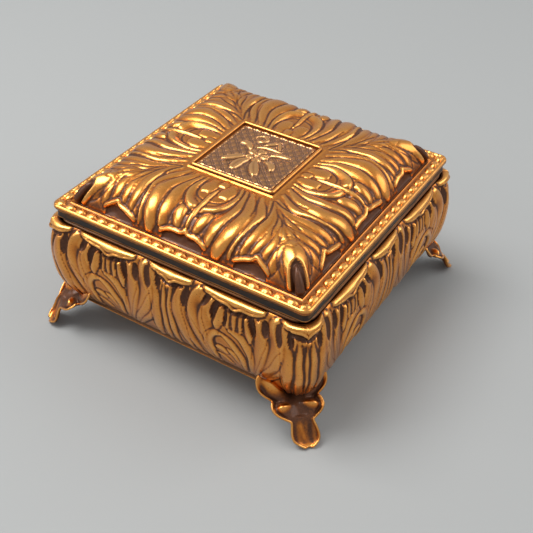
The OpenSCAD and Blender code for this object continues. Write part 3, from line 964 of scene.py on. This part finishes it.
@dataclass
class PressedWalls:
    """Four belly walls, each pressed with two palmettes between flutes."""

    sizes: Sizes
    finishes: Finishes
    corner_c: float = 52.2
    cols: int = 304
    rows: int = 116
    period: float = 60.0
    corner_swell: float = 2.2
    ground: float = 0.55
    press: float = 0.82
    hand: float = 0.3
    # the hand's shifts are moved along by this much on each next wall
    next_hand: float = 7.0
    sheet: float = 0.7

    def strokes(self) -> list[Leaf]:
        """Lists the strokes of a palmette and its flutes: along the wall, and up from the table."""
        palmette = [
            # turned-over top leaf and the flutes that fall from it
            Leaf(((-14.2, 53.6), (-6.8, 53.0), (-0.4, 52.6), (6.2, 53.0), (12.8, 53.6)),
                 4.8, 2.5, 0.5, 0.35, 0.5, full=0.8),
            Leaf(((-13.4, 52.6), (-7.6, 51.6), (-3.0, 51.4), (0.2, 50.2), (3.4, 51.4), (7.6, 51.6),
                  (12.0, 52.6)),
                 1.4, 2.6, 0.5, 0.5, 0.4),
            Leaf(((-9.0, 50.2), (0.2, 48.9), (8.6, 50.2)), 2.2, -1.5, 0.5, 0.3, 0.5),
            Leaf(((-2.6, 41.4), (-2.9, 45.4), (-3.0, 50.0)), 2.5, 0.9, 0.6, 0.7, seat=0.2),
            Leaf(((0.2, 40.8), (0.2, 45.4), (0.2, 49.8)), 2.5, 0.9, 0.6, 0.7, seat=0.2),
            Leaf(((3.0, 41.4), (3.3, 45.4), (3.4, 50.0)), 2.5, 0.9, 0.6, 0.7, seat=0.2),
            # left fan
            Leaf(((-7.2, 38.6), (-6.9, 43.3), (-5.4, 49.9)), 4.2, 1.6, 0.45, 0.4, lean=0.4),
            Leaf(((-8.6, 18.0), (-11.4, 30.0), (-12.6, 38.0), (-12.1, 44.0), (-9.6, 50.4)),
                 7.0, 1.7, 0.62, 0.3, lean=0.4),
            Leaf(((-9.6, 17.0), (-13.6, 29.0), (-16.6, 38.0), (-17.4, 45.0), (-15.2, 53.2)),
                 7.6, 1.9, 0.68, 0.2, lean=0.4),
            Leaf(((-10.8, 17.0), (-14.6, 28.0), (-18.4, 34.8), (-21.4, 40.4)),
                 4.6, 1.3, 0.55, 0.4, lean=0.3),
            Leaf(((-15.6, 17.0), (-20.1, 27.0), (-23.2, 36.3), (-24.6, 44.0), (-22.4, 52.6)),
                 5.0, 1.5, 0.6, 0.45, lean=0.3),
            # hood that leans over, the leaf behind it, then the two buds and the small leaf under it
            Leaf(((-4.6, 36.4), (-8.4, 36.0), (-10.9, 33.0), (-11.2, 28.4), (-9.0, 19.0)),
                 4.4, 1.6, 0.45, 0.45, lean=0.3),
            Leaf(((-5.6, 36.6), (-1.8, 35.0), (1.4, 31.8), (3.8, 27.4), (4.6, 19.0)),
                 3.2, 1.6, 0.45, 0.45, lean=-0.3),
            Leaf(((-1.6, 40.4), (3.4, 38.8), (6.8, 35.0), (8.4, 30.0), (7.2, 19.0)),
                 4.6, 1.6, 0.45, 0.45, lean=-0.3),
            Leaf(((-8.3, 28.2), (-5.4, 28.4), (-2.4, 26.8)), 3.0, 1.3, 0.5, 0.4, 0.7),
            Leaf(((-2.6, 29.4), (0.4, 27.6), (2.9, 23.4)), 3.2, 1.3, 0.5, 0.4, 0.7),
            Leaf(((-8.4, 24.6), (-4.6, 23.8), (-0.8, 20.4)), 2.2, 1.0, 0.5, 0.4, 0.7),
            # right fan
            Leaf(((7.6, 38.6), (6.6, 43.6), (4.6, 49.0)), 4.0, 1.6, 0.45, 0.4, lean=-0.4),
            Leaf(((7.6, 18.0), (10.6, 27.0), (13.0, 37.0), (12.4, 44.0), (10.2, 50.2)),
                 7.0, 1.7, 0.62, 0.3, lean=-0.4),
            Leaf(((8.6, 17.4), (13.6, 26.0), (17.8, 35.0), (19.4, 43.6), (16.6, 53.6)),
                 8.4, 2.0, 0.66, 0.2, lean=-0.4),
            Leaf(((9.6, 17.0), (15.4, 24.6), (20.6, 32.6), (23.0, 42.2)),
                 6.4, 1.5, 0.6, 0.3, lean=-0.3, crease=0.4),
            # hollows at the tips of the leaves
            Leaf(((-8.9, 41.4), (-8.9, 45.4), (-8.4, 50.2)), 3.2, -1.6, 0.6, 0.2),
            Leaf(((-13.9, 46.6), (-12.4, 49.4), (-11.6, 52.2)), 3.0, -1.1, 0.5, 0.2),
            Leaf(((-4.4, 41.6), (-3.6, 46.0), (-4.0, 50.0)), 1.8, -1.4, 0.4, 0.5),
            Leaf(((9.2, 41.6), (8.7, 45.6), (7.0, 50.2)), 3.0, -1.6, 0.6, 0.2),
            Leaf(((14.4, 44.4), (13.6, 48.4), (12.6, 51.4)), 3.0, -1.3, 0.5, 0.2),
            Leaf(((4.8, 41.8), (4.6, 45.8), (4.4, 49.6)), 1.6, -1.2, 0.4, 0.5),
            Leaf(((20.6, 44.0), (20.4, 48.0), (18.6, 52.6)), 3.6, -1.2, 0.5, 0.2),
        ]
        flutes = [
            Leaf(((-9.8, 53.6), (-4.4, 53.1), (0.6, 52.6), (5.6, 53.1), (10.8, 53.6)),
                 4.6, 2.5, 0.5, 0.35, 0.5, full=0.8),
            Leaf(((-9.0, 52.6), (-5.0, 51.8), (-1.6, 51.5), (0.6, 50.4), (2.8, 51.5), (6.0, 51.8),
                  (10.0, 52.6)),
                 1.3, 2.6, 0.5, 0.5, 0.4),
            Leaf(((-6.0, 50.4), (0.6, 49.0), (6.8, 50.4)), 2.0, -1.5, 0.5, 0.3, 0.5),
            Leaf(((-7.2, 17.0), (-6.6, 28.0), (-5.6, 38.0), (-7.2, 46.5), (-9.4, 53.4)),
                 4.8, 1.6, 0.5, 0.6, lean=0.2),
            Leaf(((-2.8, 17.0), (-2.3, 28.0), (-2.1, 38.0), (-2.2, 49.0)), 3.4, 1.3, 0.4, 0.7),
            Leaf(((1.6, 17.0), (1.2, 30.0), (0.8, 40.0), (0.6, 49.4)), 3.6, 1.4, 0.4, 0.7),
            Leaf(((8.6, 17.0), (6.4, 29.0), (4.2, 38.0), (3.8, 44.0), (4.8, 50.4)),
                 5.2, 1.6, 0.5, 0.55, lean=-0.2),
            Leaf(((-5.0, 45.0), (-5.2, 48.6), (-6.2, 52.2)), 2.6, -1.5, 0.5, 0.3),
            Leaf(((2.2, 46.0), (2.2, 48.6), (2.4, 50.6)), 1.6, -1.0, 0.5, 0.3),
            Leaf(((7.0, 42.0), (7.6, 47.0), (8.6, 51.6)), 3.4, -1.1, 0.5, 0.2),
        ]
        half = self.period / 2
        shifted = [replace(leaf, spine=tuple((u + side * half, v) for u, v in leaf.spine))
                   for leaf in flutes for side in (-1, 1)]
        return palmette + shifted

    def belly(self) -> tuple[np.ndarray, np.ndarray]:
        """Gives the belly's section: half width and level at even steps of height."""
        s = self.sizes
        rise = s.wall_top - s.band_top
        foot, edge = (s.foot_half, s.band_top), (s.edge_half, s.wall_top)
        pull = ((s.foot_half + 9.7, s.band_top + 0.075 * rise), (s.edge_half + 5.4, s.wall_top - 0.17 * rise))
        t = np.linspace(0, 1, 200)[:, None]
        p = [np.asarray(q, float) for q in (foot, pull[0], pull[1], edge)]
        curve = (1 - t) ** 3 * p[0] + 3 * (1 - t) ** 2 * t * p[1] + 3 * (1 - t) * t**2 * p[2] + t**3 * p[3]
        along = np.r_[0, np.cumsum(np.hypot(*np.diff(curve, axis=0).T))]
        even = np.linspace(0, along[-1], self.rows)
        return np.interp(even, along, curve[:, 0]), np.interp(even, along, curve[:, 1])

    def wall(self, side: Side) -> bpy.types.Object:
        """Presses one wall.

        Args:
            side: which wall.

        Returns:
            The new object.
        """
        node, quarter, backwards = side.value
        half, level = self.belly()
        u = np.linspace(-self.period, self.period, self.cols)
        uu, zz = np.meshgrid(u, level)
        hh = np.broadcast_to(half[:, None], uu.shape)
        run = -uu if backwards else uu
        wu, wz = wobble(run + self.next_hand * quarter, zz, self.hand)
        wu = wu - self.next_hand * quarter
        motif = (wu + self.period) % self.period - self.period / 2
        relief = pressed(self.strokes(), motif, wz, np.full(uu.shape, self.ground))
        cell = u[1] - u[0]
        relief = blurred(relief, 0.25 / cell)
        top_fade = np.clip((self.sizes.wall_top + 0.1 - zz) / 1.1, 0, 1) ** 0.5
        foot_fade = np.clip((zz - self.sizes.band_top) / 3.0, 0, 1) ** 0.6
        # dug hollows are made darker: the patina in them, and painted shade at the leaf tips and under the
        # awnings
        rub_and_shade = crest_of(relief, cell) - 0.35 * dug(self.strokes(), motif, wz)
        # painted shade in a band under the awnings; the wall is also made darker towards the bottom
        darkened_bands = np.exp(-(((zz - 46.5) / 4.0) ** 2)) + 0.6 * np.clip((22 - zz) / 6, 0, 1)
        rub_and_shade = np.clip(rub_and_shade - 0.24 * darkened_bands - 0.35 * (1 - foot_fade), 0, 1)
        relief = self.press * relief * top_fade * foot_fade
        low_fade = np.clip((zz - self.sizes.band_top) / 14.0, 0, 1) ** 0.7
        relief += self.corner_swell * np.clip((np.abs(uu) - 46) / 14, 0, 1) ** 1.6 * low_fade * top_fade**0.5
        # plan: straight to the corner's centre, then an eighth of a circle
        arc = np.clip((np.abs(uu) - self.corner_c) / (self.period - self.corner_c), 0, 1) * math.pi / 4
        sign = np.sign(uu)
        radius = hh - self.corner_c
        straight = np.clip(uu, -self.corner_c, self.corner_c)
        px = straight + sign * radius * np.sin(arc)
        py = -(self.corner_c + radius * np.cos(arc))
        slope = np.gradient(half) / np.gradient(level)
        nz = -(slope / np.sqrt(1 + slope**2))[:, None]
        nh = (1 / np.sqrt(1 + slope**2))[:, None]
        px = px + relief * nh * sign * np.sin(arc)
        py = py - relief * nh * np.cos(arc)
        pz = zz + relief * np.clip(nz, -0.6, 0.35)
        pz = np.minimum(pz, self.sizes.frame_top - 0.15)
        turn = math.radians(90 * quarter)
        x = px * math.cos(turn) - py * math.sin(turn)
        y = px * math.sin(turn) + py * math.cos(turn)
        piece = grid_piece(node.replace("_wall", "_pressed_wall"), np.stack([x, y, pz], -1), rub_and_shade)
        solid = piece.modifiers.new("sheet", "SOLIDIFY")
        solid.thickness, solid.offset = self.sheet * MM, -1.0
        return dress(piece, self.finishes.pressed, Body.BOX, Slot.COPPER, node)

    def build(self) -> None:
        """Makes the four walls."""
        for side in Side:
            self.wall(side)


@dataclass
class BoxFrame:
    """The base tray under the walls and the rim frame on them."""

    sizes: Sizes
    finishes: Finishes
    well: float = 1.0

    def base(self) -> bpy.types.Object:
        """Makes the base tray: a flat band with a rolled lower edge, and the plate in it."""
        s = self.sizes
        half, low, top = s.foot_half + s.band_out, s.base_low, s.band_top
        ring = Ring("base_tray", (
            (self.well, low + 0.35), (half - 1.6, low + 0.35), (half - 0.9, low), (half - 0.25, low + 0.05),
            (half, low + 0.35), (half - 0.12, low + 0.75), (half - 0.35, low + 1.0), (half - 0.3, top - 0.5),
            (half - 0.1, top - 0.2), (half - 0.2, top), (half - 1.3, top), (half - 1.3, low + 1.1),
            (self.well, low + 1.1)),
            half, 2.8, straight=30, arc=12, fine=0.5)
        places = ring.places()
        z = places[..., 2]
        rub_and_shade = 0.2 + 0.6 * np.exp(-(((z - low - 0.35) / 0.3) ** 2))
        rub_and_shade += 0.12 * np.sin(z * 7 + 0.4 * np.sin(places[..., 0] * 0.2))
        piece = ring.build(places, rub_and_shade)
        # the sweep leaves a small well in the middle: its wall goes, and its two ends are closed
        bm = rework(piece)
        reach = 1.1 * self.well * MM
        well = [f for f in bm.faces if all(max(abs(v.co.x), abs(v.co.y)) < reach for v in f.verts)]
        bmesh.ops.delete(bm, geom=well, context="FACES")
        bmesh.ops.holes_fill(bm, edges=[e for e in bm.edges if e.is_boundary])
        bmesh.ops.recalc_face_normals(bm, faces=bm.faces)
        put_back(bm, piece)
        sharpen(piece)
        return dress(piece, self.finishes.border, Body.BOX, Slot.AGED, "base_plate")

    def rim(self) -> bpy.types.Object:
        """Makes the rim frame with the lip that the lid fits round."""
        s = self.sizes
        low, top, half, inner = s.wall_top, s.frame_top, s.edge_half, s.frame_inner
        ring = Ring("rim_frame_sheet", (
            (inner, low), (half - 0.3, low), (half, low + 0.3), (half, top - 0.35), (half - 0.3, top),
            (57.5, top), (57.4, top + 0.15), (57.4, top + 0.95), (57.2, top + 1.2), (56.8, top + 1.2),
            (56.6, top + 0.95), (56.6, top + 0.1), (56.4, top), (inner + 0.4, top), (inner, top - 0.4)),
            half, 7.0, straight=40, arc=14, fine=0.6)
        places = ring.places()
        rub_and_shade = np.clip(0.35 + 0.5 * (places[..., 2] - top), 0.2, 0.9)
        return dress(ring.build(places, rub_and_shade), self.finishes.border, Body.BOX, Slot.AGED, "rim_frame")

    def build(self) -> None:
        """Makes the two pieces."""
        self.base()
        self.rim()


# ---------------------------------------------------------------- feet


@dataclass
class LeafFeet:
    """Four feet of one pressed leaf each: a pair of lobes along each wall, a waist and a spoon-shaped toe."""

    sizes: Sizes
    finishes: Finishes
    rows: int = 96
    cols: int = 89
    # the leaf's middle line down the corner's diagonal plane: out from the centre, and level
    spine: Points = ((75.6, 15.6), (80.2, 14.4), (84.2, 12.8), (87.2, 10.3), (88.7, 7.4), (89.8, 4.6),
                     (91.3, 2.2), (93.5, 1.1))
    # half width down the leaf, from top to toe: share of the way, mm
    outline: Points = ((0.0, 12.2), (0.05, 13.6), (0.11, 13.8), (0.155, 12.8), (0.185, 11.2), (0.21, 9.4),
                       (0.24, 9.0), (0.3, 9.8), (0.37, 9.9), (0.43, 8.6), (0.485, 6.4), (0.53, 4.5),
                       (0.57, 4.1), (0.64, 4.5), (0.76, 5.0), (0.84, 4.9), (0.9, 4.3), (0.95, 3.3),
                       (0.98, 2.3), (1.0, 1.2))
    # how far each foot was soldered off its diagonal, at its lobes and at its toe, in mm
    off_line: Points = ((-3.0, 0.45), (0.0, 0.0), (0.0, 0.0), (0.0, 0.0))
    # how far the lobes' ends climb, how they turn back from the corner, and the lowest middle of the sheet
    climb: float = 7.6
    turn_back: float = 0.16
    lowest: float = 0.76
    sheet: float = 0.75

    def leaf(self) -> tuple[np.ndarray, np.ndarray]:
        """Works out the front-right foot.

        Returns:
            Rows by columns by xyz in mm, and how bright each place is rubbed, with painted light making one
            side of the toe a little lighter.
        """
        line = smooth_line(self.spine, 0.1)
        share = np.linspace(0, 1, self.rows)
        at = np.linspace(0, 1, len(line))
        d, z = np.interp(share, at, line[:, 0]), np.interp(share, at, line[:, 1])
        curve = smooth_line(self.outline, 0.05)
        order = np.argsort(curve[:, 0])
        half = np.interp(share, curve[order, 0], curve[order, 1])
        u = np.linspace(-1, 1, self.cols)
        uu, vv = np.meshgrid(u, share)
        s = uu * half[:, None]
        angle = self.turn_back * np.clip(1.1 - 1.6 * vv, 0.1, 1.0) * np.tanh(np.abs(s) / 3)
        step = np.abs(np.diff(s, axis=1, prepend=s[:, :1]))
        side = np.cumsum(np.cos(angle) * step, axis=1)
        back = np.cumsum(np.sin(angle) * step * np.sign(s), axis=1)
        mid = self.cols // 2
        side -= side[:, mid : mid + 1]
        back -= back[:, mid : mid + 1]
        edge = np.abs(uu)
        # lobes climb the wall away from the corner
        upward = np.clip(1 - vv / 0.42, 0, 1)
        lift = self.climb * upward**2.4 * (np.abs(s) / 14.0) ** 1.2 + np.clip(1 - vv / 0.5, 0, 1) * edge**2
        run_d, run_z = np.gradient(d), np.gradient(z)
        size = np.hypot(run_d, run_z)
        nd, nz = (-run_z / size)[:, None], (run_d / size)[:, None]
        high = np.clip((0.5 - vv) / 0.05, 0, 1)
        toe = np.clip((vv - 0.52) / 0.12, 0, 1)
        upper = np.exp(-(((vv - 0.05) / 0.07) ** 2)) * np.exp(-(((edge - 0.58) / 0.27) ** 2))
        lower = np.exp(-(((vv - 0.27 - 0.1 * edge) / 0.05) ** 2)) * np.exp(-(((edge - 0.6) / 0.3) ** 2))
        rim = np.clip((edge - 0.87) / 0.13, 0, 1) ** 1.3 * np.clip((1 - vv) / 0.05, 0, 1)
        valley = high * np.exp(-(((edge - 0.83) / 0.08) ** 2)) * np.clip((vv - 0.05) / 0.05, 0, 1)
        notch = np.exp(-(((vv - 0.22) / 0.028) ** 2)) * np.clip((np.abs(s) - 4) / 3, 0, 1)
        hollow = high * np.exp(-((s / 2.6) ** 2))
        ridge = toe * np.exp(-(((s + 0.9) / 0.8) ** 2)) * np.clip((0.93 - vv) / 0.1, 0, 1)
        tip = np.clip((vv - 0.93) / 0.06, 0, 1)
        bump = 2.3 * upper + 1.9 * lower + (0.9 - 0.2 * toe) * rim - 0.6 * valley - 0.9 * notch - 1.1 * hollow
        bump += 0.35 * ridge + 0.5 * toe * edge**2.4
        diag = d[:, None] - np.abs(back) + bump * nd
        up = np.maximum(z[:, None] + lift + bump * nz, self.lowest)
        x = (diag + side) / math.sqrt(2)
        y = -(diag - side) / math.sqrt(2)
        streak = 0.5 + 0.5 * np.sin(2.1 * s + 0.8 * np.sin(9 * vv))
        rub_and_shade = 0.27 + 0.7 * upper + 0.66 * lower + 0.55 * rim + 0.25 * ridge + 0.5 * tip - 0.34 * valley
        rub_and_shade -= 0.3 * notch
        # painted light: one side of the toe is made a little lighter than the other
        rub_and_shade = np.clip(rub_and_shade - 0.24 * hollow + toe * (0.16 * streak - 0.03 * np.sign(s)), 0, 1)
        return np.stack([x, y, up], -1), rub_and_shade

    def build(self) -> None:
        """Makes the four feet."""
        places, rub_and_shade = self.leaf()
        names = ("foot_front_right", "foot_rear_right", "foot_rear_left", "foot_front_left")
        for quarter, name in enumerate(names):
            turn = math.radians(90 * quarter)
            lobes, toe = self.off_line[quarter]
            shift = (np.linspace(lobes, toe, self.rows) / math.sqrt(2))[:, None]
            x, y = places[..., 0] + shift, places[..., 1] + shift
            turned = np.stack([x * math.cos(turn) - y * math.sin(turn),
                               x * math.sin(turn) + y * math.cos(turn), places[..., 2]], -1)
            piece = grid_piece(name.replace("foot_", "leaf_foot_"), turned, rub_and_shade, flip=True)
            solid = piece.modifiers.new("sheet", "SOLIDIFY")
            solid.thickness, solid.offset = self.sheet * MM, -1.0
            dress(piece, self.finishes.pressed, Body.BOX, Slot.COPPER, name)


# ---------------------------------------------------------------- lining


@dataclass
class Lining:
    """Velvet over card: four side pads, the floor pad and the pad in the lid."""

    finishes: Finishes
    shrink: float = 0.35
    voxel: float = 1.0
    pressure: float = 4.0
    cap: float = 0.7
    frames: int = 20

    def pad(self, node: str, body: Body) -> bpy.types.Object:
        """Sews one pad and swells it with cloth.

        Args:
            node: the CAD node that it stands for.
            body: what it moves with.

        Returns:
            The new object.
        """
        low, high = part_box(node)
        size, middle = (high - low) / MM - Vector((2, 2, 2)) * self.shrink, (high + low) / 2
        bm = bmesh.new()
        bmesh.ops.create_cube(bm, size=1.0)
        bmesh.ops.scale(bm, vec=size * MM, verts=bm.verts)
        thin = min(size)
        bmesh.ops.bevel(bm, geom=bm.edges[:], offset=0.3 * thin * MM, offset_type="OFFSET", segments=2,
                        profile=0.5, affect="EDGES", material=-1)
        bmesh.ops.translate(bm, vec=middle, verts=bm.verts)
        piece = piece_from(bm, node + "_velvet")
        remesh = piece.modifiers.new("remesh", "REMESH")
        remesh.mode, remesh.voxel_size = "VOXEL", self.voxel * MM
        self.bake(piece)
        self.swell(piece)
        subdivision = piece.modifiers.new("smooth", "SUBSURF")
        subdivision.levels = subdivision.render_levels = 1
        for face in piece.data.polygons:
            face.use_smooth = True
        return dress(piece, self.finishes.velvet, body, Slot.VELVET, node)

    def bake(self, piece: bpy.types.Object) -> None:
        """Applies a piece's modifiers to its mesh."""
        graph = bpy.context.evaluated_depsgraph_get()
        mesh = bpy.data.meshes.new_from_object(piece.evaluated_get(graph))
        piece.modifiers.clear()
        piece.data = mesh

    def swell(self, piece: bpy.types.Object) -> None:
        """Blows a pad up with cloth pressure, and caps how far it swells."""
        rest = np.array([v.co for v in piece.data.vertices])
        cloth = piece.modifiers.new("cloth", "CLOTH")
        cloth.settings.quality = 4
        cloth.settings.mass = 0.2
        cloth.settings.use_pressure = True
        cloth.settings.uniform_pressure_force = self.pressure
        cloth.settings.effector_weights.gravity = 0.0
        cloth.point_cache.frame_start, cloth.point_cache.frame_end = 1, self.frames
        for step in range(1, self.frames + 1):
            bpy.context.scene.frame_set(step)
        self.bake(piece)
        bpy.context.scene.frame_set(1)
        moved = np.array([v.co for v in piece.data.vertices])
        shift = moved - rest
        far = np.linalg.norm(shift, axis=1, keepdims=True)
        shift *= np.minimum(1.0, self.cap * MM / np.maximum(far, 1e-9))
        piece.data.vertices.foreach_set("co", (rest + shift).astype(np.float32).ravel())
        piece.data.update()

    def build(self) -> None:
        """Makes the six pads."""
        for node in ("liner_front", "liner_right", "liner_rear", "liner_left", "liner_floor"):
            self.pad(node, Body.BOX)
        self.pad("lid_lining", Body.LID)


@dataclass
class Hardware:
    """CAD nodes whose shape is right, which only take a finish."""

    finishes: Finishes

    def build(self) -> None:
        """Paints the nodes."""
        brass = self.finishes.brass
        for node, material in (("hinge_leaf_body", brass), ("hinge_leaf_lid", brass), ("hinge_pin", brass),
                               ("lid_board", self.finishes.card)):
            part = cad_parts[node]
            part.data.materials.clear()
            part.data.materials.append(material)
            LOG.info("%s: painted %s", node, material.name)


# ---------------------------------------------------------------- studio


@dataclass
class Studio:
    """Camera, soft window light and the pale table."""

    finishes: Finishes
    eye: tuple[float, float, float] = (169.60, -262.33, 273.2)
    right: tuple[float, float, float] = (0.84320, 0.53753, 0.00868)
    down: tuple[float, float, float] = (0.34828, -0.53389, -0.77049)
    lens: float = 60.94
    sensor: float = 36.0
    aim: tuple[float, float, float] = (0.0, 0.0, 0.04)
    sky: str = "#bbbdbf"
    white: str = "#ffffff"

    def camera(self) -> None:
        """Sets the camera up."""
        data = bpy.data.cameras.new("camera")
        data.lens, data.sensor_width = self.lens, self.sensor
        data.clip_start, data.clip_end = 0.01, 20.0
        camera = bpy.data.objects.new("camera", data)
        bpy.context.scene.collection.objects.link(camera)
        right, up = Vector(self.right).normalized(), -Vector(self.down).normalized()
        back = right.cross(up)
        turn = Matrix((right, up, back)).transposed().to_4x4()
        camera.matrix_world = Matrix.Translation(Vector(self.eye) * MM) @ turn
        bpy.context.scene.camera = camera

    def lamp(self, name: str, place: tuple[float, float, float], size: float, power: float) -> None:
        """Adds one square soft light that faces the box.

        Args:
            name: the lamp's name.
            place: where it hangs, in metres.
            size: side of the square, in metres.
            power: watts.
        """
        data = bpy.data.lights.new(name, "AREA")
        data.shape, data.size, data.energy = "SQUARE", size, power
        data.color = linear(self.white)[:3]
        lamp = bpy.data.objects.new(name, data)
        bpy.context.scene.collection.objects.link(lamp)
        lamp.location = place
        lamp.rotation_mode = "QUATERNION"
        lamp.rotation_quaternion = (Vector(self.aim) - Vector(place)).to_track_quat("-Z", "Y")

    def table(self) -> None:
        """Lays the table."""
        bm = bmesh.new()
        bmesh.ops.create_grid(bm, x_segments=8, y_segments=8, size=3.0)
        table = piece_from(bm, "table_top")
        table.data.materials.append(self.finishes.table)

    def build(self) -> None:
        """Builds the studio."""
        scene = bpy.context.scene
        world = bpy.data.worlds.new("studio")
        world.use_nodes = True
        world.node_tree.nodes.clear()
        sky = add_node(world.node_tree, "ShaderNodeBackground", {"Color": linear(self.sky), "Strength": 1.0})
        add_node(world.node_tree, "ShaderNodeOutputWorld", {"Surface": sky.outputs[0]})
        scene.world = world
        scene.view_settings.view_transform = "Standard"
        self.camera()
        self.lamp("window", (-0.44, -0.20, 1.05), 0.66, 13.5)
        self.lamp("front", (-0.85, -0.75, 0.60), 0.45, 2.0)
        self.lamp("fill", (0.80, 0.55, 0.85), 1.0, 7.0)
        self.table()


def main() -> None:
    """Builds the box in order and reports each piece."""
    logging.basicConfig(level=logging.INFO, format="%(name)s %(message)s")
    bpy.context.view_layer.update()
    finishes = Finishes()
    sizes = Sizes.from_frame()
    Studio(finishes).build()
    for part in (PressedLid(sizes, finishes), Plaque(sizes, finishes), PressedWalls(sizes, finishes),
                 BoxFrame(sizes, finishes), LeafFeet(sizes, finishes), Hardware(finishes), Lining(finishes)):
        part.build()
        LOG.info("%s is done", type(part).__name__)


if __name__ == "__main__":
    main()
